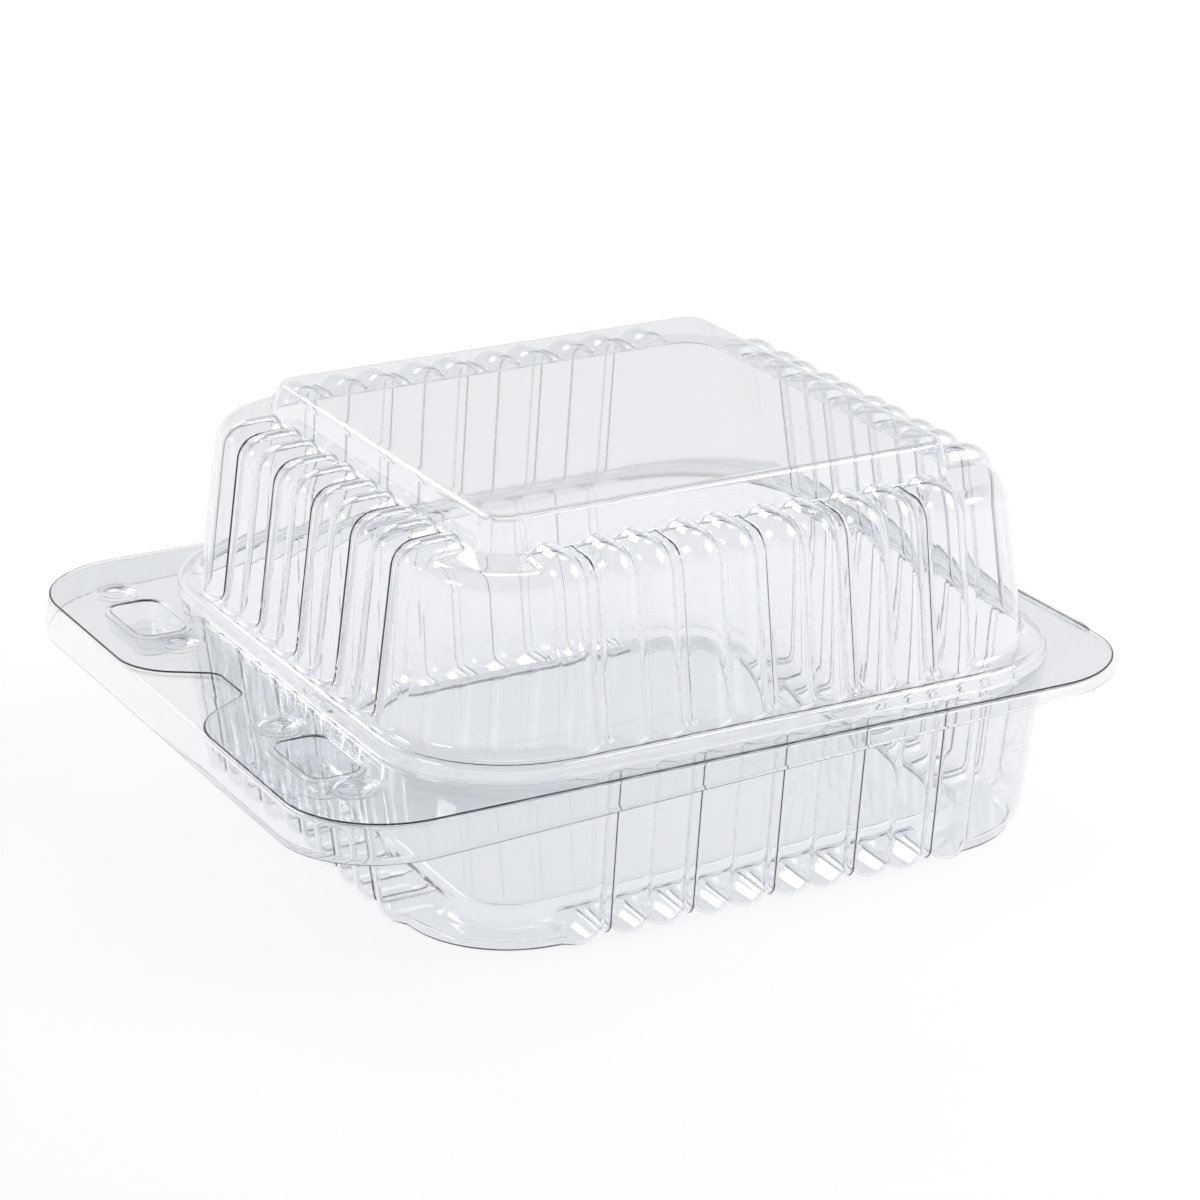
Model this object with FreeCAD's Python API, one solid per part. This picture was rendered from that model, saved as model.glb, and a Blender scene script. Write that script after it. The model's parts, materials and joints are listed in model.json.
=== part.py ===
import FreeCAD, Part
import math
import os
from FreeCAD import Vector

# Clear hinged pack: a tray and its lid, both pressed from thin clear sheet, in millimetres.
# The origin lies under the middle of the outline on the surface the tray stands on.
# The closing edge with its two press buttons faces -Y, the hinge runs along +Y, +Z is up.

# Sheet and the square cavity that both halves share
sheet = 0.45                # sheet thickness
cavity_half = 70.0          # half width of the cavity where its walls meet the flanges
joint_height = 35.25        # plane where the lid's flange lies on the tray's flange
lid_height = 77.8           # top of the closed pack

# Flanges
flange_half = 75.0          # half width of the lid's flange
closing_margin = 23.5       # cavity wall to the closing edge
hinge_margin = 9.0          # cavity wall to the flange edge on the hinge side
flange_radius = 20.0        # outline rounding of both flanges
tray_edge = 0.3             # how far the tray's flange stands out past the lid's
edge_round = 0.9            # rounding along the top of the tray's edge
skirt_closing = 7.4         # depth of the tray's skirt at the closing edge
skirt_hinge = 1.5           # depth of the skirt at the hinge edge
skirt_flare = 0.9           # how far the skirt spreads over its full depth

# Hinge
hinge_reach = 0.9           # flange edge to the fold line
hinge_half = 53.0           # half length of the fold
bead_radius = 1.0           # rounded bead along the fold, a quarter on each half

# Flutes on the four sides of both halves: five pairs of lobes with a small rib in each wide gap
rib_count = 5
pair_pitch = 7.3            # lobe to lobe within a pair
rib_pitch = 10.0            # lobe to lobe across a small rib
lobe_flat = 1.8             # half width of a lobe's crest
rib_share = 0.38            # height of a small rib against a lobe

# Lid, measured out from the middle of the cavity and up from the table
plateau_half = 48.7         # raised square on top
plateau_round = 1.5         # its edge rounding
plateau_draft = 1.5         # how far its wall spreads down to the ledge
plateau_rise = 6.5          # top of the plateau above the ledge
lid_lobe = 2.4              # lobe height on the lid
hip_run = 1.4               # length of the steep inner end of a lobe
ledge_fall = 0.6            # how far the ledge falls on its way out
lid_shoulder = 4.3          # shoulder radius between ledge and wall, in the valleys
shoulder_steps = 3
lid_wall_top = 60.9         # wall line carried up to the ledge
lid_wall_foot = 65.4        # wall line at the foot ring
ring_height = 3.0           # foot ring round the lid's wall
ring_round = 1.1            # rounding of the ring's outer edge
lobe_foot = 1.9             # height over which a lid lobe rounds off at its foot
lobe_foot_reach = 0.65      # how far across the ring's ledge it ends

# Tray
tray_lobe = 2.0             # lobe height on the tray's wall
tray_wall_foot = 66.3       # wall line at the top of the bottom rounding
foot_round_height = 4.6     # where the bottom rounding starts
plinth_half = 64.2          # plain foot between the lobes
plinth_height = 2.0
lobe_toe = 1.3              # how far a lobe's toe stands out on the table
toe_round = 3.4             # rounding of its toe
panel_half = 49.5           # recess under the tray that takes the plateau of the pack below
panel_rise = 4.0
panel_draft = 0.7

# Press buttons in the closing flange
button_centre = 40.0        # from the middle of the pack
button_setback = 13.5       # from the lid's closing edge
button_long = 18.6
button_wide = 9.8
button_radius = 3.0
button_depth = 3.7
button_draft = 0.5
button_play = 0.3           # clearance between the lid's button and the tray's pocket
dimple_offset = 16.0        # small dimple on each side of a button
dimple_radius = 2.8
dimple_depth = 0.6
dimple_draft = 0.3

# Thumb notch in the lid's closing edge
notch_top = 6.2             # half width at its inner end
notch_base = 15.0           # half width at the edge
notch_depth = 13.8
notch_inner_radius = 3.5
notch_outer_radius = 14.0

# Places that follow from the sizes
lobe_half = pair_pitch / 2                  # the lobes of a pair meet at their roots
rib_half = rib_pitch / 2 - lobe_half        # a small rib fills the gap it stands in
rib_step = pair_pitch + rib_pitch
straight_half = (rib_count - 1) / 2 * rib_step + rib_pitch / 2 + lobe_half
ledge_height = lid_height - plateau_rise
lid_top_of_flange = joint_height + sheet
closing_edge = cavity_half + closing_margin
hinge_edge = cavity_half + hinge_margin
hinge_line = hinge_edge + hinge_reach
outer_closing = closing_edge + tray_edge + skirt_flare
cavity_y = (outer_closing - hinge_line) / 2
overrun = 2.0               # how far a cutting form runs past the face that it opens
tiny = 1e-6


def between(start, end, share):
    """Point at a share of the way from start to end."""
    return tuple(a + (b - a) * share for a, b in zip(start, end))


def offset_line(points, distance):
    """Points of an open line moved to its left by a distance, its corners kept sharp."""
    normals = []
    for (ax, ay), (bx, by) in zip(points, points[1:]):
        length = math.hypot(bx - ax, by - ay)
        normals.append(((ay - by) / length, (bx - ax) / length))
    moved = []
    for index, (x, y) in enumerate(points):
        first = normals[max(index - 1, 0)]
        second = normals[min(index, len(normals) - 1)]
        scale = distance / (1 + first[0] * second[0] + first[1] * second[1])
        moved.append((x + (first[0] + second[0]) * scale, y + (first[1] + second[1]) * scale))
    return moved


def lobe_places():
    """Middles of the lobes along one side, two about each small rib."""
    places = []
    for rib in rib_places():
        places += [rib - rib_pitch / 2, rib + rib_pitch / 2]
    return places


def rib_places():
    """Middles of the small ribs along one side."""
    return [(index - (rib_count - 1) / 2) * rib_step for index in range(rib_count)]


def flute_section(height, inset):
    """Points along a side, each with its share of the lobe height, for a skin set in by inset."""
    ribs = rib_places()
    line = [(-straight_half, 0.0)]
    for place in sorted(lobe_places() + ribs):
        if place in ribs:
            line += [(place, rib_share * height), (place + rib_half, 0.0)]
        else:
            line += [(place - lobe_flat, height), (place + lobe_flat, height)]
            line.append((place + lobe_half, 0.0))
    moved = offset_line(line, -inset)
    section = [(along, (rise + inset) / height) for along, rise in moved]
    section[0] = (-straight_half, 0.0)
    section[-1] = (straight_half, 0.0)
    return section


def rounding(start, corner, end, radius, steps):
    """Points of the rounding at a corner of a line that turns to its right."""
    into = math.atan2(corner[1] - start[1], corner[0] - start[0])
    turn = into - math.atan2(end[1] - corner[1], end[0] - corner[0])
    run = radius * math.tan(turn / 2)
    first = (corner[0] - run * math.cos(into), corner[1] - run * math.sin(into))
    middle = (first[0] + radius * math.sin(into), first[1] - radius * math.cos(into))
    points = []
    for step in range(steps + 1):
        angle = into + math.pi / 2 - turn * step / steps
        points.append((middle[0] + radius * math.cos(angle),
                       middle[1] + radius * math.sin(angle)))
    return points


def plain_rows(points):
    """Rows with no flutes, where the valley and the crest are one point."""
    return [(point, point) for point in points]


def lid_rows():
    """Rows of the lid's skin from the plateau to the flange, each a valley and a crest point."""
    edge = plateau_round * (1 - math.sqrt(0.5))
    root = (plateau_half + plateau_draft, ledge_height)
    rows = plain_rows([(plateau_half - plateau_round, lid_height),
                       (plateau_half - edge, lid_height - edge),
                       (plateau_half, lid_height - plateau_round), root])
    ring_top = lid_top_of_flange + ring_height
    corner = (lid_wall_top, ledge_height - ledge_fall)
    foot = (lid_wall_foot, ring_top)
    valley = [between(root, corner, hip_run / (corner[0] - root[0]))]
    valley += rounding(root, corner, foot, lid_shoulder, shoulder_steps)
    valley.append(between(foot, corner, lobe_foot / (corner[1] - foot[1])))
    rows += zip(valley, offset_line(valley, lid_lobe))
    ring_out = (cavity_half - ring_round, ring_top)
    rows.append((foot, between(foot, ring_out, lobe_foot_reach)))
    rows += plain_rows([ring_out, (cavity_half, ring_top - ring_round),
                        (cavity_half, joint_height)])
    return rows


def tray_rows():
    """Rows of the tray's skin from the raised panel to the flange, valley and crest."""
    rows = plain_rows([(panel_half - panel_draft, panel_rise), (panel_half, 0.0)])
    rows.append(((plinth_half, 0.0), (plinth_half + lobe_toe, 0.0)))
    crest_foot = tray_wall_foot + tray_lobe
    toe_side = (crest_foot - toe_round * (1 - math.sqrt(0.5)), toe_round * (1 - math.sqrt(0.5)))
    rows.append(((plinth_half, plinth_height), toe_side))
    rows.append(((tray_wall_foot, foot_round_height), (crest_foot, foot_round_height)))
    rows.append(((cavity_half, joint_height), (cavity_half + tray_lobe, joint_height)))
    return rows


def inner_rows(rows, towards):
    """The same rows for the inside of the sheet, which lies to the left of the line, or right."""
    valleys = offset_line([row[0] for row in rows], towards * sheet)
    crests = offset_line([row[1] for row in rows], towards * sheet)
    inner = []
    for row, valley, crest in zip(rows, valleys, crests):
        inner.append((valley, valley if row[0] == row[1] else crest))
    return inner


def carried_to(rows, level):
    """The rows with the last one carried on along its wall to a level."""
    carried = []
    for start, end in zip(rows[-2], rows[-1]):
        carried.append(between(start, end, (level - start[1]) / (end[1] - start[1])))
    return rows[:-1] + [tuple(carried)]


def is_plain(row):
    """Whether a row has no flutes."""
    return math.dist(*row) < tiny


def row_points(rows, index, section):
    """Points of a row along the +X side: one a column beside a fluted stretch, otherwise two."""
    row = rows[index]
    beside = [rows[near] for near in (index - 1, index + 1) if 0 <= near < len(rows)]
    split = any(not is_plain(near) and near[0][1] != row[0][1] for near in beside)
    if is_plain(row) and not split:
        columns = [section[0], section[-1]]
    else:
        columns = section
    points = []
    for along, share in columns:
        out, height = between(*row, share)
        points.append(Vector(out, along, height))
    return points


def faces_through(points):
    """One flat face through the points, or two triangles where four of them don't lie flat."""
    if len(points) == 4:
        normal = (points[1] - points[0]).cross(points[2] - points[0])
        if abs(normal.normalize().dot(points[3] - points[0])) > tiny:
            return faces_through(points[:3]) + faces_through([points[0]] + points[2:])
    return [Part.Face(Part.makePolygon(points + points[:1]))]


def band_faces(first, second):
    """Faces of a side between the points of two rows."""
    if len(first) != len(second) or len(first) == 2:
        return faces_through(first + second[::-1])
    faces = []
    for index in range(len(first) - 1):
        faces += faces_through(first[index:index + 2] + second[index:index + 2][::-1])
    return faces


def quarter_turns(shapes):
    """Copies of the +X side's faces on all four sides."""
    copies = []
    for quarter in range(4):
        for shape in shapes:
            copy = shape.copy()
            copy.rotate(Vector(0, 0, 0), Vector(0, 0, 1), 90 * quarter)
            copies.append(copy)
    return copies


def corner_face(first, second):
    """Face of the rounded corner between two rows."""
    points = [Vector(out, straight_half, height) for out, height in (first, second)]
    axis = Vector(straight_half, straight_half, 0)
    return Part.makeLine(*points).revolve(axis, Vector(0, 0, 1), 90)


def cap_face(points):
    """Flat face that closes the form at a row, its corners rounded."""
    edges = [Part.makeLine(*pair) for pair in zip(points, points[1:])]
    out, height = points[-1].x, points[-1].z
    middle = Vector(straight_half, straight_half, height)
    edges.append(Part.makeCircle(out - straight_half, middle, Vector(0, 0, 1), 0, 90))
    return Part.Face(Part.Wire(Part.__sortEdges__(quarter_turns(edges))))


def form(rows, section):
    """Closed solid inside a skin given by its rows and the section of its flutes."""
    lines = [row_points(rows, index, section) for index in range(len(rows))]
    faces = []
    for index in range(len(rows) - 1):
        faces += band_faces(lines[index], lines[index + 1])
        faces.append(corner_face(rows[index][0], rows[index + 1][0]))
    skin = quarter_turns(faces) + [cap_face(lines[0]), cap_face(lines[-1])]
    shell = Part.makeShell(skin)
    shell.sewShape()
    solid = Part.Solid(shell)
    if solid.Volume < 0:
        solid.reverse()
    return solid


def rounded_outline(half_x, front, back, radius, level):
    """Closed wire of a rectangle with rounded corners."""
    edges = []
    corners = [(half_x, back), (-half_x, back), (-half_x, front), (half_x, front)]
    ends = []
    for quarter, (x, y) in enumerate(corners):
        middle = Vector(x - math.copysign(radius, x), y - radius if y == back else y + radius, level)
        start = 90 * quarter
        edges.append(Part.makeCircle(radius, middle, Vector(0, 0, 1), start, start + 90))
        ends.append((edges[-1].valueAt(edges[-1].FirstParameter),
                     edges[-1].valueAt(edges[-1].LastParameter)))
    for index in range(4):
        edges.append(Part.makeLine(ends[index][1], ends[(index + 1) % 4][0]))
    return Part.Wire(Part.__sortEdges__(edges))


def flange_outline(grow, level):
    """Outline of the lid's flange, grown by a distance."""
    return rounded_outline(flange_half + grow, -closing_edge - grow, hinge_edge + grow,
                           flange_radius + grow, level)


def skirt_form(inset):
    """Solid block bounded by the tray's flange and its skirt, set in by the sheet or not."""
    top = joint_height - inset
    bevel = edge_round * (1 - math.sqrt(0.5))
    steps = [(-edge_round, 0.0), (-bevel, -bevel), (0.0, -edge_round),
             (skirt_flare, -skirt_closing)]
    wires = [flange_outline(tray_edge - inset + grow, top + drop) for grow, drop in steps]
    return Part.makeLoft(wires, True, True)


def skirt_trim():
    """Block under the sloping lower edge of the skirt."""
    front, back = -closing_edge - overrun, hinge_edge + overrun
    slope = (skirt_closing - skirt_hinge) / (closing_edge + hinge_edge)
    heights = [joint_height - skirt_closing + slope * (y + closing_edge) for y in (front, back)]
    far = -flange_half - 2 * overrun
    bottom = joint_height - skirt_closing - 3 * overrun
    points = [Vector(far, front, bottom), Vector(far, back, bottom),
              Vector(far, back, heights[1]), Vector(far, front, heights[0])]
    return Part.Face(Part.makePolygon(points + points[:1])).extrude(Vector(-2 * far, 0, 0))


def pocket_form(x, half_long, half_wide, radius, top, depth, draft):
    """Tapered block with rounded corners that hangs from a flange."""
    y = -closing_edge + button_setback
    wires = []
    for inset, level in ((0.0, top), (draft, top - depth)):
        wire = rounded_outline(half_long - inset, -half_wide + inset, half_wide - inset,
                               radius - inset, level)
        wire.translate(Vector(x, y, 0))
        wires.append(wire)
    return Part.makeLoft(wires, True, True)


def button_forms(top, grow, deepen):
    """Blocks of the press buttons and their dimples from a level down, grown and deepened."""
    forms = []
    for side in (-1, 1):
        forms.append(pocket_form(side * button_centre, button_long / 2 + grow,
                                 button_wide / 2 + grow, button_radius + grow, top,
                                 button_depth + deepen, button_draft))
        for step in (-dimple_offset, dimple_offset):
            forms.append(dimple_form(side * button_centre + step, dimple_radius + grow, top,
                                     dimple_depth + deepen))
    return forms


def dimple_form(x, radius, top, depth):
    """Round tapered block that hangs from a flange beside a button."""
    low = Vector(x, -closing_edge + button_setback, top - depth)
    return Part.makeCone(radius - dimple_draft, radius, depth, low)


def rounded_run(points, radii):
    """Edges through points, with an arc of its radius at each point between the ends."""
    edges = []
    last = points[0]
    for before, corner, after, radius in zip(points, points[1:], points[2:], radii):
        into, out = (corner - before).normalize(), (after - corner).normalize()
        half_turn = into.getAngle(out) / 2
        run = radius * math.tan(half_turn)
        first, second = corner - into * run, corner + out * run
        inward = (out - into).normalize()
        middle = corner + inward * radius * (1 / math.cos(half_turn) - 1)
        edges.append(Part.makeLine(last, first))
        edges.append(Part.Arc(first, middle, second).toShape())
        last = second
    return edges + [Part.makeLine(last, points[-1])]


def notch_form():
    """Block that cuts the thumb notch into the lid's flange."""
    inner = -closing_edge + notch_depth
    wide = notch_base + notch_outer_radius
    level = joint_height - sheet
    points = [Vector(x, y, level) for x, y in
              ((-wide, -closing_edge), (-notch_base, -closing_edge), (-notch_top, inner),
               (notch_top, inner), (notch_base, -closing_edge), (wide, -closing_edge),
               (wide, -closing_edge - overrun), (-wide, -closing_edge - overrun))]
    radii = [notch_outer_radius, notch_inner_radius, notch_inner_radius, notch_outer_radius]
    edges = rounded_run(points[:6], radii)
    for start, end in zip(points[5:], points[6:] + points[:1]):
        edges.append(Part.makeLine(start, end))
    return Part.Face(Part.Wire(edges)).extrude(Vector(0, 0, 3 * sheet))


def notched_flange():
    """Lid's flange plate with the thumb notch."""
    plate = Part.Face(flange_outline(0.0, joint_height)).extrude(Vector(0, 0, sheet))
    return plate.cut(notch_form())


def hinge_half_form(side):
    """One half of the fold: a strip out to the fold line and a quarter-round bead."""
    low = joint_height if side > 0 else joint_height - sheet
    lap = 2 * edge_round
    strip = Part.makeBox(2 * hinge_half, hinge_reach + lap, sheet,
                         Vector(-hinge_half, hinge_edge - lap, low))
    rod = Part.makeCylinder(bead_radius, 2 * hinge_half,
                            Vector(-hinge_half, hinge_line, joint_height), Vector(1, 0, 0))
    low = joint_height if side > 0 else joint_height - bead_radius
    quarter = Part.makeBox(2 * hinge_half, bead_radius, bead_radius,
                           Vector(-hinge_half, hinge_line - bead_radius, low))
    return strip.fuse(rod.common(quarter))


def lid():
    """The lid: fluted dome, flange with the notch, buttons and its half of the fold."""
    outside = form(lid_rows(), flute_section(lid_lobe, 0.0))
    inside = form(carried_to(inner_rows(lid_rows(), -1), joint_height - overrun),
                  flute_section(lid_lobe, sheet))
    body = notched_flange().fuse([outside, hinge_half_form(1)]
                                 + button_forms(joint_height, sheet, 0.0))
    return finished(body.cut([inside] + button_forms(lid_top_of_flange, 0.0, 0.0)))


def tray():
    """The tray: fluted bowl, flange with its skirt, pockets and its half of the fold."""
    outside = form(tray_rows(), flute_section(tray_lobe, 0.0))
    inside = form(carried_to(inner_rows(tray_rows(), 1), joint_height + overrun),
                  flute_section(tray_lobe, sheet))
    rim = skirt_form(0.0).cut([skirt_form(sheet), skirt_trim()])
    grow = sheet + button_play
    body = rim.fuse([outside, hinge_half_form(-1)]
                    + button_forms(joint_height, grow + sheet, button_play + sheet))
    return finished(body.cut([inside] + button_forms(joint_height, grow, button_play)))


def finished(shape):
    """The shape as one solid with merged faces, moved to the pack's frame."""
    solid = shape.removeSplitter().Solids[0]
    solid.translate(Vector(0, cavity_y, 0))
    return solid


os.makedirs("parts", exist_ok=True)
for name, solid in (("tray", tray()), ("lid", lid())):
    solid.exportStep(f"parts/{name}.step")
    box = solid.BoundBox
    print(f"{name}: {solid.Volume / 1000:.2f} cm3, x {box.XMin:.2f} to {box.XMax:.2f}, "
          f"y {box.YMin:.2f} to {box.YMax:.2f}, z {box.ZMin:.2f} to {box.ZMax:.2f}")
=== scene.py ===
import json
import math
import bmesh
import bpy
from mathutils import Matrix, Vector


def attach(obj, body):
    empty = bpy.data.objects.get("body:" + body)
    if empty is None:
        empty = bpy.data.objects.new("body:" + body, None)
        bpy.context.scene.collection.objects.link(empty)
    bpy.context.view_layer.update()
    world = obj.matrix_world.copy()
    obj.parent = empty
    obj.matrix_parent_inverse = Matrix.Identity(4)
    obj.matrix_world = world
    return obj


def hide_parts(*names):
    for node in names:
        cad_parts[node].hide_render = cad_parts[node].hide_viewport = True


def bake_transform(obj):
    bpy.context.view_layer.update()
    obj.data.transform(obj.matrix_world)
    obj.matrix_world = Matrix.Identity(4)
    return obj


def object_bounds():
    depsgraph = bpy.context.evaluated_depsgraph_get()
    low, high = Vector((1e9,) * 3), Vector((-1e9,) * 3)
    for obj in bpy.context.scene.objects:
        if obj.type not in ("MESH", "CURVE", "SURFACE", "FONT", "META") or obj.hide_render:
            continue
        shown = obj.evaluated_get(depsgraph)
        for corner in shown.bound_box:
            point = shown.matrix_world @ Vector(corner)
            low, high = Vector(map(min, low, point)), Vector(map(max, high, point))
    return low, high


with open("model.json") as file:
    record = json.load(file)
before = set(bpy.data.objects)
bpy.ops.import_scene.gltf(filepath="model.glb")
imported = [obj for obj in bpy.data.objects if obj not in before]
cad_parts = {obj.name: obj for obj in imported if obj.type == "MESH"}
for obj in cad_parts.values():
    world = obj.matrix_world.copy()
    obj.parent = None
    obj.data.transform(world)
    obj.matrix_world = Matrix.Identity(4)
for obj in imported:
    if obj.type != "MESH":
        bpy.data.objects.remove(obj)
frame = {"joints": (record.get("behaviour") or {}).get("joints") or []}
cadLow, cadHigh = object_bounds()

# The pack's sizes are in millimetres, out from the middle of the square cavity and up from the table.
# The stage and the lamps are in metres.
mm = 0.001
sheetThick = 0.45
shownThick = 0.34                       # leaves a film of air between the two flanges
edgeShare = 0.35                        # the trimmed edges are thinner
hinge = frame["joints"][0]
foldY = hinge["pos_m"][1] / mm
meetZ = hinge["pos_m"][2] / mm          # where the two flanges lie on each other
lidTop = cadHigh.z / mm
lidFlangeTop = meetZ + sheetThick
trayFlangeUnder = meetZ - sheetThick

cavity = {
    "half": 70.0,
    "foldReach": 79.9,          # cavity middle to the fold line
}
middleY = foldY - cavity["foldReach"]

flutes = {
    "groups": 5,                # each is two lobes about a small rib
    "lobeHalf": 3.65,
    "acrossRib": 10.0,
    "groupStep": 17.3,
    "ribHeight": 0.85,
    "soften": 1.12,             # a lobe's foot rounds out to this share of its half width
    "softDeep": 0.9,            # how deep that rounding reaches
    "crowding": 0.35,           # how much the columns crowd together at a lobe's feet
    "lobeCuts": 13,
    "ribCuts": 6,
    "cornerCuts": 16,
}

flange = {
    "sideHalf": 75.0,
    "closing": 93.5,
    "hinge": 79.0,
    "round": 20.0,
    "roundCuts": 20,
    "support": 0.5,             # flat rim kept round every opening and edge
}

print("sizes read, middle of the cavity at y", round(middleY, 2))


def place(x, y, z):
    # a point from the cavity's middle to the part's frame, in metres
    return Vector((x * mm, (y + middleY) * mm, z * mm))


def arc(middle, radius, start, end, cuts):
    # points of an arc in a profile, angles in degrees
    points = []
    for step in range(cuts + 1):
        angle = math.radians(start + (end - start) * step / cuts)
        points.append((middle[0] + radius * math.cos(angle), middle[1] + radius * math.sin(angle)))
    return points


def mixed(first, second, share):
    return tuple(a + (b - a) * share for a, b in zip(first, second))


def turned(start, corner, end, radius, cuts):
    # a profile's corner made round with a radius
    into = math.atan2(corner[1] - start[1], corner[0] - start[0])
    out = math.atan2(end[1] - corner[1], end[0] - corner[0])
    turn = (out - into + math.pi) % (2 * math.pi) - math.pi
    run = radius * math.tan(abs(turn) / 2)
    side = math.copysign(1, turn)
    first = (corner[0] - run * math.cos(into), corner[1] - run * math.sin(into))
    centre = (first[0] - side * radius * math.sin(into), first[1] + side * radius * math.cos(into))
    points = []
    for step in range(cuts + 1):
        angle = into - side * math.pi / 2 + turn * step / cuts
        points.append((centre[0] + radius * math.cos(angle), centre[1] + radius * math.sin(angle)))
    return points


def shifted(line, distance):
    # each point moved to the left of the line's own direction there
    moved = []
    for index, point in enumerate(line):
        before = line[max(index - 1, 0)]
        after = line[min(index + 1, len(line) - 1)]
        run = (after[0] - before[0], after[1] - before[1])
        size = math.hypot(*run)
        moved.append((point[0] - run[1] / size * distance, point[1] + run[0] / size * distance))
    return moved


def fluteColumns():
    # places along one side, each with lobe or rib and how far across that it lies, from -1 to 1
    half = flutes["lobeHalf"]
    ribHalf = flutes["acrossRib"] / 2 - half * flutes["soften"]
    foot = (1 + flutes["soften"]) / 2
    first = -(flutes["groups"] - 1) / 2 * flutes["groupStep"]

    def spread(middle, reach, kind, cuts):
        places = []
        for cut in range(cuts):
            across = -math.cos(math.pi * cut / cuts) * flutes["crowding"]
            across += (2 * cut / cuts - 1) * (1 - flutes["crowding"])
            places.append((middle + across * reach, kind, across))
        return places

    columns = []
    for group in range(flutes["groups"]):
        rib = first + group * flutes["groupStep"]
        left, right = rib - flutes["acrossRib"] / 2, rib + flutes["acrossRib"] / 2
        columns += spread(left, half, "lobe", flutes["lobeCuts"])
        columns += [(left + half * across, "lobe", across) for across in (1.0, foot)]
        columns += spread(rib, ribHalf, "rib", flutes["ribCuts"])
        columns.append((right - half * foot, "lobe", -foot))
        columns += spread(right, half, "lobe", flutes["lobeCuts"])
    columns.append((right + half, "lobe", 1.0))
    return columns


def lobeShare(kind, across, height, ending):
    # share of the lobe's height: a round section with a softened foot, and a round cap that closes
    # it as ending nears 1
    half = flutes["lobeHalf"]
    if kind == "rib":
        bump = flutes["ribHeight"] / height * (math.cos(math.pi * across) + 1) / 2
        return bump * (1 - ending * ending)
    radius = (half * half + height * height) / (2 * height)
    inside = radius * radius - half * half * (across * across + ending * ending)
    rise = math.sqrt(inside) - radius + height if inside > 0 else -height
    soft = max(1 - abs(rise) / flutes["softDeep"], 0.0)
    return (max(rise, 0.0) + soft * soft * flutes["softDeep"] / 4) / height


def ringOf(valley, crest, ending, height, corner=None):
    # one closed row round the cavity, fluted on the sides and plain in the corners; the outer half
    # of a side's last lobes stands on the corner's profile
    points = []
    corner = corner or valley
    columns = fluteColumns()
    edge = columns[-1][0]
    for quarter in range(4):
        spin = Matrix.Rotation(math.radians(90 * quarter), 3, "Z")
        for along, kind, across in columns:
            share = lobeShare(kind, across, height, ending) if crest else 0.0
            base = corner if abs(along) > edge - flutes["lobeHalf"] else valley
            out, z = mixed(base, crest or base, share)
            points.append(spin @ Vector((out, along, z)))
        for cut in range(1, flutes["cornerCuts"]):
            angle = math.radians(90 * cut / flutes["cornerCuts"])
            reach = corner[0] - edge
            points.append(spin @ Vector((edge + reach * math.cos(angle), edge + reach * math.sin(angle),
                                         corner[1])))
    return [place(*point) for point in points]


quarters = [(1, 1, 0), (-1, 1, 90), (-1, -1, 180), (1, -1, 270)]     # signs of X and Y, first angle


def outlineRing(grow, level, notch=None):
    # closed row along the flange's outline, from the hinge end of the +X side
    points = []
    corner = flange["round"] + grow
    for signX, signY, start in quarters:
        x = signX * (flange["sideHalf"] - flange["round"])
        y = flange["hinge"] - flange["round"] if signY > 0 else -flange["closing"] + flange["round"]
        for cut in range(flange["roundCuts"] + 1):
            angle = math.radians(start + 90 * cut / flange["roundCuts"])
            points.append((x + corner * math.cos(angle), y + corner * math.sin(angle)))
        if signX < 0 and signY < 0 and notch:
            points += notch(grow)
    return [place(x, y, level(x, y) if callable(level) else level) for x, y in points]


def roundedRing(x, y, halfLong, halfWide, radius, z, cuts=8):
    # closed row of a rectangle with round corners
    points = []
    for signX, signY, start in quarters:
        for cut in range(cuts + 1):
            angle = math.radians(start + 90 * cut / cuts)
            points.append(place(x + signX * (halfLong - radius) + radius * math.cos(angle),
                                y + signY * (halfWide - radius) + radius * math.sin(angle), z))
    return points


def circleRing(x, y, radius, z, cuts=28):
    turns = [2 * math.pi * cut / cuts for cut in range(cuts)]
    return [place(x + radius * math.cos(turn), y + radius * math.sin(turn), z) for turn in turns]


def linked(name, data):
    made = bpy.data.objects.new(name, data)
    bpy.context.scene.collection.objects.link(made)
    return made


class Skin:
    # one open sheet that is sewn together from rows and flat fills
    def __init__(self):
        self.mesh = bmesh.new()

    def row(self, points):
        return [self.mesh.verts.new(point) for point in points]

    def band(self, first, second):
        count = len(first)
        for index in range(count):
            after = (index + 1) % count
            self.mesh.faces.new((first[index], second[index], second[after], first[after]))

    def bands(self, rings):
        rows = [self.row(ring) for ring in rings]
        for first, second in zip(rows, rows[1:]):
            self.band(first, second)
        return rows[0], rows[-1]

    def loop(self, row):
        edges = []
        for index, vert in enumerate(row):
            pair = (vert, row[(index + 1) % len(row)])
            edges.append(self.mesh.edges.get(pair) or self.mesh.edges.new(pair))
        return edges

    def fill(self, rows):
        edges = [edge for row in rows for edge in self.loop(row)]
        made = bmesh.ops.triangle_fill(self.mesh, use_beauty=True, use_dissolve=False, edges=edges)
        faces = [part for part in made["geom"] if isinstance(part, bmesh.types.BMFace)]
        for face in faces:
            face.normal_update()
        bmesh.ops.reverse_faces(self.mesh, faces=[face for face in faces if face.normal.z < 0])

    def finished(self, name, flip):
        if flip:
            bmesh.ops.reverse_faces(self.mesh, faces=self.mesh.faces[:])
        inner = [index for index, vert in enumerate(self.mesh.verts) if not vert.is_boundary]
        data = bpy.data.meshes.new(name)
        self.mesh.to_mesh(data)
        self.mesh.free()
        piece = linked(name, data)
        data.shade_smooth()
        full = piece.vertex_groups.new(name="full thickness")
        full.add(inner, 1.0, "REPLACE")
        solid = piece.modifiers.new("thickness", "SOLIDIFY")
        solid.vertex_group = full.name
        solid.thickness_vertex_group = edgeShare
        solid.thickness = shownThick * mm
        solid.offset = -1
        solid.use_even_offset = True
        solid.use_quality_normals = True
        return piece


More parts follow.
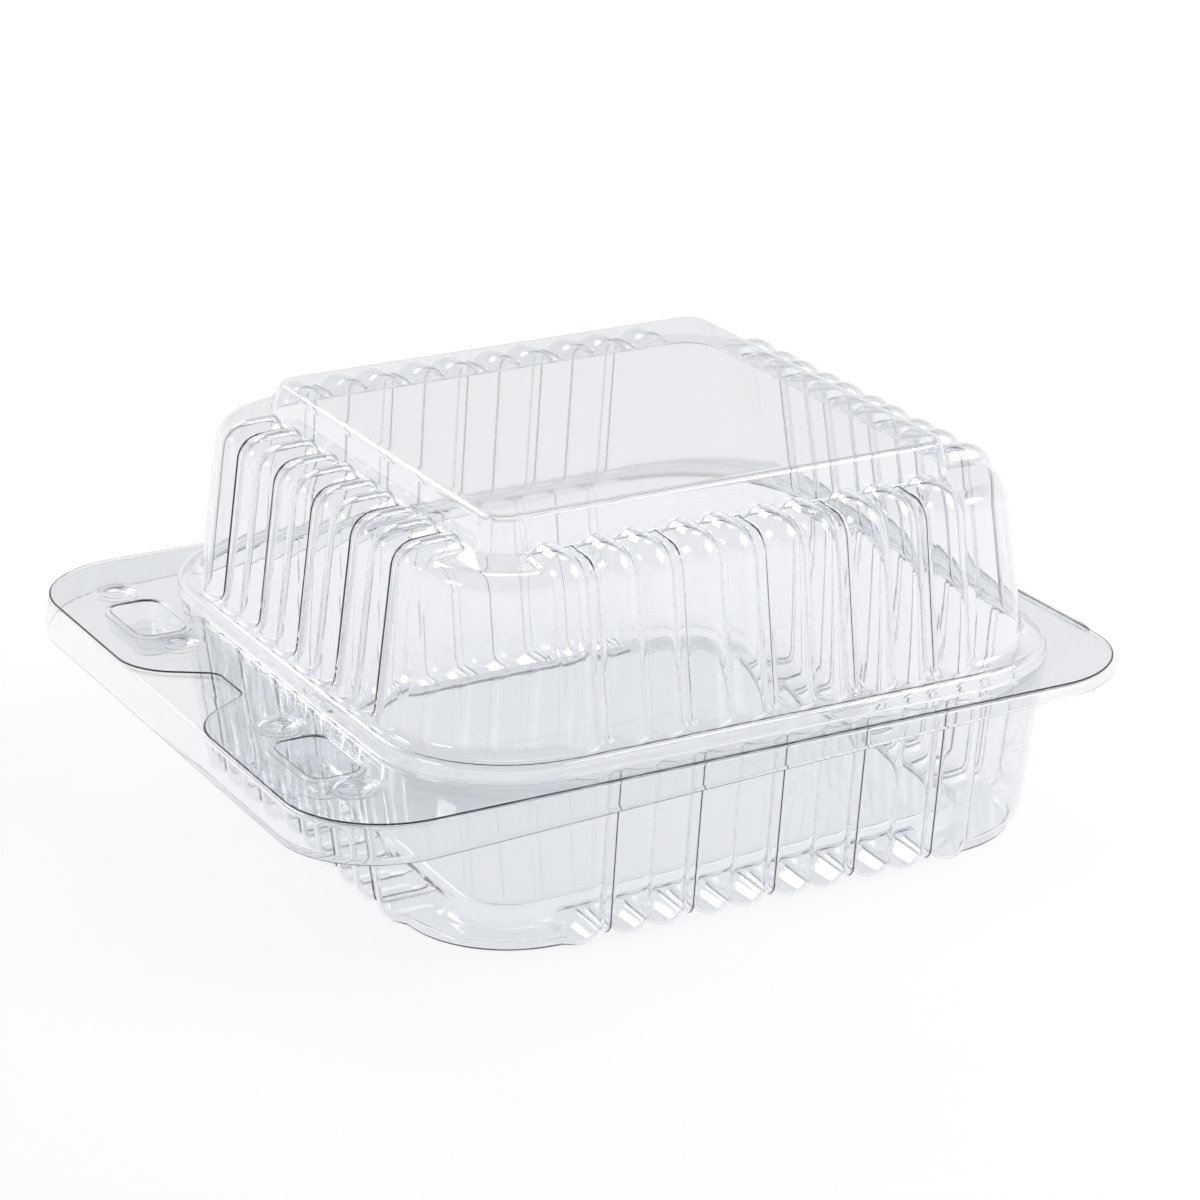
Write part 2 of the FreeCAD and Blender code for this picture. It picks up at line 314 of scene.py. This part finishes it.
buttons = {
    "x": 40.0,
    "fromEdge": 13.5,
    "halfLong": 9.3,
    "halfWide": 4.9,
    "round": 3.0,
    "leastRound": 0.4,
    "deep": 3.7,
    "draft": 0.5,
    "lip": 0.7,                 # rounding round the mouth and the floor on the lid
    "trayLip": 0.8,
    "lipOut": 0.6,              # share of the lip's rounding that lies outside the mouth
    "rim": 0.2,                 # flat row round the mouth
    "lipCuts": 4,
    "dimpleStep": 16.0,         # to each side of a pocket
    "dimple": 2.8,
    "dimpleDeep": 0.6,
    "dimpleWall": [(0.5, 0.0), (0.15, 0.06), (-0.15, 0.25)],    # out from the dimple's size, down
    "dimpleFloor": [(-0.45, -0.08), (-0.9, 0.0)],               # out, down from the floor
    "dimpleMiddle": 0.35,       # share of the dimple that is filled flat
    "dimpleRing": 5.3,          # faint wide ring pressed round each of the lid's dimples
    "ringDeep": 0.12,
    "ringRows": [(0.3, 0.0), (0.0, 0.0), (-0.35, 0.5), (-0.7, 1.0)],   # out, share of the ring's depth
    "play": 0.3,
}


def buttonPocket(skin, x, z, grow, deep, lip):
    # pressed pocket that hangs from a flange, and its flat rim row
    y = -flange["closing"] + buttons["fromEdge"]
    long, wide = buttons["halfLong"] + grow, buttons["halfWide"] + grow
    radius, mouth = buttons["round"] + grow, lip * buttons["lipOut"]
    cuts = buttons["lipCuts"]
    rings = [(mouth + buttons["rim"], 0.0), (mouth, 0.0)]
    for step in range(1, cuts + 1):
        angle = math.radians(90 * step / cuts)
        rings.append((mouth * (1 - math.sin(angle)), lip * (1 - math.cos(angle))))
    rings.append((-buttons["draft"] / 2, deep / 2))
    for step in range(cuts + 1):
        angle = math.radians(90 * step / cuts)
        rings.append((-buttons["draft"] - lip * (1 - math.cos(angle)),
                      deep - lip * (1 - math.sin(angle))))
    rings.append((-buttons["draft"] - lip - flange["support"], deep))
    rows = [roundedRing(x, y, long + out, wide + out, max(radius + out, buttons["leastRound"]), z - drop)
            for out, drop in rings]
    floor, rim = skin.bands(rows[::-1])
    skin.fill([floor])
    return rim


def dimple(skin, x, z, grow):
    # small round dimple, on the lid in its faint wide ring
    y = -flange["closing"] + buttons["fromEdge"]
    size, deep = buttons["dimple"] + grow, buttons["dimpleDeep"]
    shelf, rings = 0.0, []
    if not grow:
        shelf = buttons["ringDeep"]
        rings = [(buttons["dimpleRing"] + out, shelf * share) for out, share in buttons["ringRows"]]
    rings += [(size + out, shelf + drop) for out, drop in buttons["dimpleWall"]]
    rings += [(size + out, deep + drop) for out, drop in buttons["dimpleFloor"]]
    rings.append((size * buttons["dimpleMiddle"], deep))
    rows = [circleRing(x, y, out, z - drop) for out, drop in rings]
    floor, rim = skin.bands(rows[::-1])
    skin.fill([floor])
    return rim


def pressedRims(skin, z, grow, deep, lip):
    # all four dimples and both pockets of a flange
    rims = []
    for side in (-1, 1):
        rims.append(buttonPocket(skin, side * buttons["x"], z, grow, deep, lip))
        for step in (-buttons["dimpleStep"], buttons["dimpleStep"]):
            rims.append(dimple(skin, side * buttons["x"] + step, z, grow))
    return rims


lid = {
    "plateau": 48.7,
    "plateauRound": 1.5,
    "plateauRim": 0.6,          # flat row inside the plateau's rounding
    "plateauFoot": 50.2,
    "plateauFootRound": 0.5,
    "ledge": 6.5,               # plateau down to the ledge
    "ledgeFall": 0.6,
    "lobe": 2.4,
    "hipStart": 0.15,           # from the plateau's foot to the lobes
    "hipRun": 1.7,              # length of the round cap at a lobe's inner end
    "hipCuts": 7,
    "shoulderRows": (0.45, 0.8),        # shares of the ledge between the cap and the shoulder
    "shoulder": 4.3,
    "wallTop": 60.9,
    "wallFoot": 65.4,
    "wallRows": (0.25, 0.5, 0.75),      # shares of the wall
    "ringRows": (0.35, 0.7),            # shares of the ring's top
    "ringFall": 0.1,
    "ring": 2.9,                # foot ring above the flange
    "ringRound": 1.35,
    "ringFoot": 0.5,
    "footRound": 2.8,
    "crestFootRound": 0.5,
    "notchInner": 6.2,
    "notchOuter": 15.0,
    "notchDeep": 13.8,
    "notchSlant": 0.5,          # the inner end narrows by this share of a step in from the edge
    "notchRun": 37.5,           # half the part of the edge that is drawn with the notch
    "notchTight": 3.5,
    "notchWide": 14.0,
    "edgeRows": (0.5, 0.12, 0.0),       # in from the trimmed edge
}


def lidProfile():
    # rows of the dome: valley point, crest point or None, and how far the lobe's cap has ended
    ledgeZ = lidTop - lid["ledge"]
    ringTop = lidFlangeTop + lid["ring"]
    top = (lid["plateau"], lidTop)
    foot = (lid["plateauFoot"], ledgeZ)
    corner = (lid["wallTop"], ledgeZ - lid["ledgeFall"])
    wallFoot = (lid["wallFoot"], ringTop)
    plain = [(lid["plateau"] - lid["plateauRound"] - lid["plateauRim"], lidTop)]
    plain += turned((0, lidTop), top, foot, lid["plateauRound"], cuts=7)
    plain += turned(top, foot, corner, lid["plateauFootRound"], cuts=4)
    rows = [(point, None, 0) for point in plain]
    # the ledge with the lobes' round inner ends, then the shoulder and the wall
    start = plain[-1][0] + lid["hipStart"]
    valley, endings = [], []
    for step in range(lid["hipCuts"] + 1):
        ending = math.cos(math.radians(90 * step / lid["hipCuts"]))
        share = (start - foot[0] + lid["hipRun"] * (1 - ending)) / (corner[0] - foot[0])
        valley.append(mixed(foot, corner, share))
        endings.append(ending)
    bend = turned(foot, corner, wallFoot, lid["shoulder"], cuts=10)
    valley += [mixed(valley[-1], bend[0], share) for share in lid["shoulderRows"]]
    valley += bend
    crest = shifted(valley, lid["lobe"])
    side = shifted([bend[-1], wallFoot], lid["lobe"])[0]
    for share in lid["wallRows"]:
        drop = mixed(bend[-1], wallFoot, share)
        valley.append(drop)
        crest.append((drop[0] + side[0] - bend[-1][0], drop[1] + side[1] - bend[-1][1]))
    endings += [0.0] * (len(valley) - len(endings))
    rows += zip(valley, crest, endings)
    # where the wall meets the ring's top, in the valleys and on the crests
    slope = (wallFoot[0] - bend[-1][0]) / (bend[-1][1] - wallFoot[1])
    push = lid["lobe"] * math.sqrt(1 + slope * slope)
    crestFoot = (wallFoot[0] + push, ringTop)
    ringEnd = (cavity["half"] - lid["ringRound"], ringTop - lid["ringFall"])
    ringEdge = (cavity["half"], ringTop)
    valleyTurn = turned(bend[-1], wallFoot, ringEnd, lid["footRound"], cuts=5)
    crestTurn = turned(crest[-1], crestFoot, ringEdge, lid["crestFootRound"], cuts=5)
    rows += zip(valleyTurn, crestTurn, [0.0] * len(valleyTurn))
    for share in lid["ringRows"]:
        rows.append((mixed(valleyTurn[-1], ringEnd, share), mixed(crestTurn[-1], ringEnd, share), 0))
    under = (cavity["half"], lidFlangeTop)
    plain = turned(wallFoot, ringEdge, under, lid["ringRound"], cuts=6)
    plain += turned(ringEdge, under, (flange["sideHalf"], lidFlangeTop), lid["ringFoot"], cuts=4)
    return rows + [(point, None, 0) for point in plain]


def notchLine(grow):
    # points of the thumb notch in the closing edge, from -X to +X
    edgeY = -flange["closing"] - grow
    inner = -flange["closing"] + lid["notchDeep"] - grow
    wide, narrow = lid["notchOuter"] - grow, lid["notchInner"] - grow * lid["notchSlant"]
    start, end = (-lid["notchRun"], edgeY), (lid["notchRun"], edgeY)
    tight = lid["notchTight"] - grow
    points = [start]
    points += turned(start, (-wide, edgeY), (-narrow, inner), lid["notchWide"], cuts=12)
    points += turned((-wide, edgeY), (-narrow, inner), (narrow, inner), tight, cuts=10)
    points += turned((-narrow, inner), (narrow, inner), (wide, edgeY), tight, cuts=10)
    points += turned((narrow, inner), (wide, edgeY), end, lid["notchWide"], cuts=12)
    return points + [end]


def makeLid():
    skin = Skin()
    rows = [ringOf(valley, crest, ending, lid["lobe"]) for valley, crest, ending in lidProfile()]
    top, foot = skin.bands(rows)
    skin.fill([top])
    rims = pressedRims(skin, lidFlangeTop, 0.0, buttons["deep"], buttons["lip"])
    inner = skin.bands([outlineRing(-back, lidFlangeTop, notchLine) for back in lid["edgeRows"]])[0]
    skin.fill([foot, inner] + rims)
    return skin.finished("lidSheet", flip=False)


tray = {
    "panel": 53.5,
    "panelRise": 4.0,
    "panelRows": [(-2.0, 0.0), (-0.5, 0.0), (-0.2, -0.05), (0.0, -0.25), (0.15, -0.9)],   # out, up
    "valleyFall": 2.3,          # panel down to the web between two toes
    "valleyRound": 2.0,
    "toeStart": 0.5,            # from the panel's edge to the toes
    "cap": 3.2,                 # length of a toe's round inner end
    "capCuts": 9,
    "toeFlat": 4.0,             # a toe's flat ends this far inside the plinth's edge
    "toeRows": (0.35, 0.7),     # shares of that flat
    "plinth": 64.2,
    "plinthHigh": 2.0,
    "plinthRound": 0.45,
    "plinthRows": [(0.02, 0.6, 0.0), (0.05, 1.0, 0.0), (0.35, 1.0, 0.12)],   # out, share of height, up
    "stepStart": (-0.2, 0.0),   # out from the plinth's edge, up from its top
    "stepBend": (-0.35, 0.2),   # out from the wall's foot, up from the plinth's top
    "stepEnd": 0.1,             # share of the wall
    "stepRound": 2.2,
    "lobe": 2.0,
    "wallFoot": 66.3,
    "footHigh": 4.6,
    "toeRound": 3.6,
    "wallRows": (0.2, 0.45, 0.7),       # shares of the wall
    "topRound": 0.5,
    "topRim": 0.15,
    "edge": 0.3,                # past the lid's edge
    "edgeRound": 0.9,
    "edgeCuts": 4,
    "skirtClosing": 7.4,
    "skirtHinge": 1.5,
    "skirtRows": (0.25, 0.5, 0.75, 0.94, 1.0),      # shares of the skirt
    "flare": 0.86,              # how far the skirt leans out
}


def cornerFoot(footPoint, topValley):
    # the plinth band of the corners and the rounding above it
    plinth, high = tray["plinth"], tray["plinthHigh"]
    points = turned((0, 0), (plinth, 0.0), (plinth, footPoint[1] + high), tray["plinthRound"], cuts=4)
    points += [(plinth + out, high * share + rise) for out, share, rise in tray["plinthRows"]]
    low = (plinth + tray["stepStart"][0], high + tray["stepStart"][1])
    bend = (footPoint[0] + tray["stepBend"][0], high + tray["stepBend"][1])
    up = mixed(footPoint, topValley, tray["stepEnd"])
    return points + turned(low, bend, up, tray["stepRound"], cuts=6)[1:]


def trayProfile():
    # rows of the bowl's outside, from the raised panel to the flange, each with its point in the
    # valleys, its point on the lobes, how far a toe's cap has ended, and its point in the corners
    edge, rise = tray["panel"], tray["panelRise"]
    rows = []
    for out, up in tray["panelRows"]:
        point = (edge + out, rise + up)
        rows.append((point, point, 0, point))
    valleyZ = rise - tray["valleyFall"]
    start = edge + tray["toeStart"]
    for step in range(tray["capCuts"] + 1):
        angle = math.radians(90 * step / tray["capCuts"])
        out = start + tray["cap"] * (1 - math.cos(angle))
        cornerZ = valleyZ * (1 - math.sin(angle))
        rows.append(((out, valleyZ), (out, 0.0), math.cos(angle), (out, cornerZ)))
    flatStart = start + tray["cap"]
    for share in tray["toeRows"]:
        out = flatStart + (tray["plinth"] - tray["toeFlat"] - flatStart) * share
        rows.append(((out, valleyZ), (out, 0.0), 0, (out, 0.0)))
    # the webs, the toes and the corners' plinth turn up into the wall
    footPoint = (tray["wallFoot"], tray["footHigh"])
    topValley = (cavity["half"], trayFlangeUnder)
    slope = (topValley[0] - footPoint[0]) / (topValley[1] - footPoint[1])
    push = tray["lobe"] * math.sqrt(1 + slope * slope)
    crestFoot = (footPoint[0] + push, footPoint[1])
    topCrest = (topValley[0] + push, topValley[1])
    sole = (crestFoot[0] - slope * footPoint[1], 0.0)
    base = (footPoint[0] - slope * (footPoint[1] - valleyZ), valleyZ)
    corner = cornerFoot(footPoint, topValley)
    cuts = len(corner) - 1
    crest = turned((0, 0), sole, topCrest, tray["toeRound"], cuts)
    valley = turned((0, valleyZ), base, topValley, tray["valleyRound"], cuts)
    rows += zip(valley, crest, [0.0] * len(corner), corner)
    lows = (valley[-1], crest[-1], corner[-1])
    tops = (topValley, topCrest, topValley)
    for share in tray["wallRows"]:
        inValley, onLobe, inCorner = (mixed(low, top, share) for low, top in zip(lows, tops))
        rows.append((inValley, onLobe, 0, inCorner))
    out = (flange["closing"], trayFlangeUnder)
    bends = [turned(low, top, out, tray["topRound"], cuts=5) for low, top in zip(lows, tops)]
    for bend in bends:
        bend.append((bend[-1][0] + tray["topRim"], trayFlangeUnder))
    return rows + list(zip(bends[0], bends[1], [0.0] * len(bends[0]), bends[2]))


def skirtRows():
    # the tray's edge from the flat underside over its rounding and down the skirt's inside
    rows = []
    reach = tray["edge"] - sheetThick
    radius = tray["edgeRound"] - sheetThick
    rows.append(outlineRing(reach - radius - flange["support"], trayFlangeUnder))
    for step in range(tray["edgeCuts"] + 1):
        angle = math.radians(90 * step / tray["edgeCuts"])
        rows.append(outlineRing(reach - radius + radius * math.sin(angle),
                                trayFlangeUnder - radius + radius * math.cos(angle)))
    slope = (tray["skirtClosing"] - tray["skirtHinge"]) / (flange["closing"] + flange["hinge"])
    startZ = trayFlangeUnder - radius

    def levelAt(share):
        def level(x, y):
            end = meetZ - tray["skirtClosing"] + slope * (y + flange["closing"])
            return startZ + (end - startZ) * share
        return level

    for share in tray["skirtRows"]:
        rows.append(outlineRing(reach + tray["flare"] * share, levelAt(share)))
    return rows


def makeTray():
    skin = Skin()
    rows = [ringOf(valley, crest, ending, tray["lobe"], corner)
            for valley, crest, ending, corner in trayProfile()]
    panel, top = skin.bands(rows)
    skin.fill([panel])
    grow = buttons["play"] + 2 * sheetThick
    rims = pressedRims(skin, trayFlangeUnder, grow, buttons["deep"] + buttons["play"], buttons["trayLip"])
    inner = skin.bands(skirtRows())[0]
    skin.fill([top, inner] + rims)
    return skin.finished("traySheet", flip=True)


fold = {
    "half": 53.0,
    "radius": 0.9,
    "open": 118,                # degrees each way from the outermost line
    "cuts": 14,
    "steps": 40,
    "thick": 0.3,
    "taper": 0.08,              # share of the half length over which the ends thin out
    "tip": 0.02,                # the taper would close this share past the end
}


def makeFold():
    # the living hinge: one rounded bead of sheet that joins the two flanges
    skin = Skin()
    centre = (cavity["foldReach"] - fold["radius"], meetZ)
    hollow = fold["radius"] - fold["thick"]
    rows = []
    for step in range(fold["steps"] + 1):
        share = math.cos(math.pi * step / fold["steps"])
        size = min(1.0, math.sqrt((1 + fold["tip"] - abs(share)) / fold["taper"]))
        outside = arc(centre, fold["radius"] * size, -fold["open"], fold["open"], fold["cuts"])
        inside = arc(centre, hollow * size, fold["open"], -fold["open"], fold["cuts"])
        rows.append([place(share * fold["half"], y, z) for y, z in outside + inside])
    for row in skin.bands(rows):
        for index in range(fold["cuts"]):
            skin.mesh.faces.new((row[index], row[index + 1], row[-2 - index], row[-1 - index]))
    bmesh.ops.recalc_face_normals(skin.mesh, faces=skin.mesh.faces[:])
    data = bpy.data.meshes.new("foldBead")
    skin.mesh.to_mesh(data)
    skin.mesh.free()
    data.shade_smooth()
    return linked("foldBead", data)


clearSheet = {
    "tint": (0.928, 0.934, 0.944, 1),
    "shadow": (0.965, 0.968, 0.973, 1),
    "ior": 1.57,
    "rough": 0.02,
}


def clearMaterial():
    # clear pressed sheet: glassy, and open to lamps and to the floor's soft light
    made = bpy.data.materials.new("clearSheet")
    made.use_nodes = True
    nodes, links = made.node_tree.nodes, made.node_tree.links
    shader = nodes["Principled BSDF"]
    shader.inputs["Base Color"].default_value = clearSheet["tint"]
    shader.inputs["Transmission Weight"].default_value = 1
    shader.inputs["IOR"].default_value = clearSheet["ior"]
    shader.inputs["Roughness"].default_value = clearSheet["rough"]
    path = nodes.new("ShaderNodeLightPath")
    through = nodes.new("ShaderNodeBsdfTransparent")
    through.inputs["Color"].default_value = clearSheet["shadow"]
    either = nodes.new("ShaderNodeMath")
    either.operation = "MAXIMUM"
    links.new(path.outputs["Is Shadow Ray"], either.inputs[0])
    links.new(path.outputs["Is Diffuse Ray"], either.inputs[1])
    choose = nodes.new("ShaderNodeMixShader")
    links.new(either.outputs[0], choose.inputs["Fac"])
    links.new(shader.outputs["BSDF"], choose.inputs[1])
    links.new(through.outputs["BSDF"], choose.inputs[2])
    links.new(choose.outputs["Shader"], nodes["Material Output"].inputs["Surface"])
    return made


sheetMaterial = clearMaterial()
print("material made")

lidSheet = makeLid()
print("lid made,", len(lidSheet.data.polygons), "faces")
traySheet = makeTray()
print("tray made,", len(traySheet.data.polygons), "faces")
foldBead = makeFold()
for piece, body in ((lidSheet, "lid"), (traySheet, "tray")):
    piece.data.materials.append(sheetMaterial)
    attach(piece, body)
    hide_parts(body)
foldBead.data.materials.append(sheetMaterial)
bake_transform(foldBead)
print("pieces ride on their bodies")

stageSet = {
    "floorHalf": 6.0,
    "floorDrop": 0.0002,
    "floorColour": (0.85, 0.85, 0.85, 1),
    "glowNear": 0.39,           # added for what the camera, gloss and glass see
    "glowFar": 0.74,            # the same, where the lamps no longer reach
    "glowRun": (0.5, 1.7),      # metres from the pack between the two
    "sky": [                    # colours by height, 0 at the horizon and 1 overhead
        (0.12, (0.97, 0.975, 0.98, 1)),
        (0.26, (0.765, 0.774, 0.782, 1)),
        (0.40, (0.765, 0.774, 0.782, 1)),
        (0.56, (0.153, 0.162, 0.174, 1)),
    ],
}


def backgroundRays(nodes, links):
    # 1 for camera, glossy and transmission rays
    path = nodes.new("ShaderNodeLightPath")
    first = nodes.new("ShaderNodeMath")
    first.operation = "MAXIMUM"
    links.new(path.outputs["Is Camera Ray"], first.inputs[0])
    links.new(path.outputs["Is Glossy Ray"], first.inputs[1])
    second = nodes.new("ShaderNodeMath")
    second.operation = "MAXIMUM"
    links.new(first.outputs[0], second.inputs[0])
    links.new(path.outputs["Is Transmission Ray"], second.inputs[1])
    return second.outputs[0]


def makeFloor():
    half = stageSet["floorHalf"]
    data = bpy.data.meshes.new("floor")
    corners = [(-half, -half, 0), (half, -half, 0), (half, half, 0), (-half, half, 0)]
    data.from_pydata(corners, [], [(0, 1, 2, 3)])
    floor = linked("floor", data)
    floor.location.z = -stageSet["floorDrop"]
    made = bpy.data.materials.new("floorWhite")
    made.use_nodes = True
    nodes, links = made.node_tree.nodes, made.node_tree.links
    nodes.remove(nodes["Principled BSDF"])
    matte = nodes.new("ShaderNodeBsdfDiffuse")
    matte.inputs["Color"].default_value = stageSet["floorColour"]
    glow = nodes.new("ShaderNodeEmission")
    glow.inputs["Color"].default_value = (1, 1, 1, 1)
    strength = nodes.new("ShaderNodeMath")
    strength.operation = "MULTIPLY"
    links.new(backgroundRays(nodes, links), strength.inputs[0])
    spots = nodes.new("ShaderNodeTexCoord")
    away = nodes.new("ShaderNodeVectorMath")
    away.operation = "LENGTH"
    links.new(spots.outputs["Object"], away.inputs[0])
    fade = nodes.new("ShaderNodeMapRange")
    fade.inputs["From Min"].default_value, fade.inputs["From Max"].default_value = stageSet["glowRun"]
    fade.inputs["To Min"].default_value = stageSet["glowNear"]
    fade.inputs["To Max"].default_value = stageSet["glowFar"]
    links.new(away.outputs["Value"], fade.inputs["Value"])
    links.new(fade.outputs["Result"], strength.inputs[1])
    links.new(strength.outputs[0], glow.inputs["Strength"])
    both = nodes.new("ShaderNodeAddShader")
    links.new(matte.outputs[0], both.inputs[0])
    links.new(glow.outputs[0], both.inputs[1])
    links.new(both.outputs[0], nodes["Material Output"].inputs["Surface"])
    data.materials.append(made)


def makeWorld():
    # near white at the horizon, like the floor there, and darker overhead, so that rims draw a line
    world = bpy.data.worlds.new("studio")
    bpy.context.scene.world = world
    world.use_nodes = True
    nodes, links = world.node_tree.nodes, world.node_tree.links
    sky = nodes["Background"]
    spots = nodes.new("ShaderNodeTexCoord")
    split = nodes.new("ShaderNodeSeparateXYZ")
    links.new(spots.outputs["Generated"], split.inputs[0])
    ramp = nodes.new("ShaderNodeValToRGB")
    links.new(split.outputs["Z"], ramp.inputs["Fac"])
    stops = ramp.color_ramp.elements
    stops[0].position, stops[0].color = stageSet["sky"][0]
    stops[1].position, stops[1].color = stageSet["sky"][-1]
    for height, colour in stageSet["sky"][1:-1]:
        stops.new(height).color = colour
    links.new(ramp.outputs["Color"], sky.inputs["Color"])
    sky.inputs["Strength"].default_value = 1


softBoxes = {                   # round from the closing side and above the table in degrees
    "leftLow": {"round": -86, "above": 37, "size": (0.5, 0.34), "watts": 2.0},
    "leftHigh": {"round": -123, "above": 62, "size": (0.45, 0.34), "watts": 1.2},
    "back": {"round": 149, "above": 46, "size": (0.8, 0.6), "watts": 5.2},
    "front": {"round": -5, "above": 36, "size": (0.4, 0.2), "watts": 1.2},
}
boxesAway = 1.2
boxesAim = 40                   # mm up, where they all point


def towards(turn, above):
    # direction from the pack, turned from the closing side and raised, in degrees
    side, up = math.radians(turn), math.radians(above)
    return Vector((math.sin(side) * math.cos(up), -math.cos(side) * math.cos(up), math.sin(up)))


def makeLights():
    aim = place(0, 0, boxesAim)
    for name, box in softBoxes.items():
        lamp = bpy.data.lights.new(name, "AREA")
        lamp.shape = "RECTANGLE"
        lamp.size, lamp.size_y = box["size"]
        lamp.energy = box["watts"]
        holder = linked(name, lamp)
        away = towards(box["round"], box["above"])
        holder.location = aim + away * boxesAway
        holder.rotation_euler = (-away).to_track_quat("-Z", "Y").to_euler()


view = {
    "lens": 116.0,
    "film": 36,
    "nearest": 0.01,            # metres
    "round": 61.595,            # degrees round from the closing side
    "above": 20.505,
    "away": 761.381,            # mm from the point that it looks at
    "lookAt": (0.014, -0.609, 38.375),
}


def makeCamera():
    data = bpy.data.cameras.new("camera")
    data.lens = view["lens"]
    data.sensor_width = view["film"]
    data.clip_start = view["nearest"]
    camera = linked("camera", data)
    back = towards(view["round"], view["above"])
    camera.location = place(*view["lookAt"]) + back * view["away"] * mm
    camera.rotation_euler = (-back).to_track_quat("-Z", "Y").to_euler()
    bpy.context.scene.camera = camera


makeFloor()
makeWorld()
makeLights()
makeCamera()
scene = bpy.context.scene
scene.view_settings.view_transform = "Standard"
scene.cycles.max_bounces = 24
scene.cycles.transmission_bounces = 20
scene.cycles.transparent_max_bounces = 24
scene.cycles.glossy_bounces = 8
scene.cycles.caustics_refractive = False      # lamps already shine through the sheet's open shadow
scene.cycles.caustics_reflective = False
print("stage, lights and camera set")
